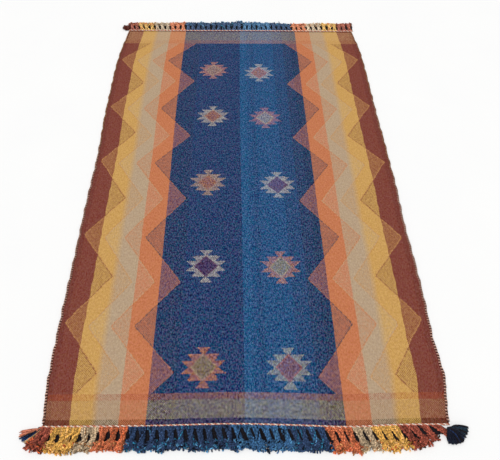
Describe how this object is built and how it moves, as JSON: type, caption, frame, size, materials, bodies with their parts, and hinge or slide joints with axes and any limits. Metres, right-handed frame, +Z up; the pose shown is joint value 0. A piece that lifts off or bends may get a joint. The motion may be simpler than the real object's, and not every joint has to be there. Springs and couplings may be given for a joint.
{
  "type": "flat-woven kilim rug",
  "caption": "Flat-woven striped kilim rug lying flat, with zigzag side bands, star motifs on a dark middle, twined end cords, knotted fringes and corner tassels.",
  "frame": {"origin": "middle of the cloth's underside, on the floor", "axes": "+X across the rug, +Y along it from the near end to the far end, +Z up from the floor"},
  "size_m": [1.2638, 2.165, 0.011],
  "materials": {
    "cloth": "balanced plain weave of heathered yarn, striped, matt",
    "end_cord": "twined coral and white yarn, matt",
    "fringe": "bundles of warp yarn in the stripe colours, fluffy cut ends",
    "tassel_mixed": "loose coral, navy and cream yarn",
    "tassel_navy": "loose navy yarn",
    "tassel_brown": "loose dark brown yarn"
  },
  "bodies": {
    "root": {"rug_cloth": "cloth", "end_cord_near": "end_cord", "end_cord_far": "end_cord", "fringe_near": "fringe", "fringe_far": "fringe", "tassel_near_left": "tassel_mixed", "tassel_near_right": "tassel_navy", "tassel_far_left": "tassel_brown"}
  },
  "joints": []
}
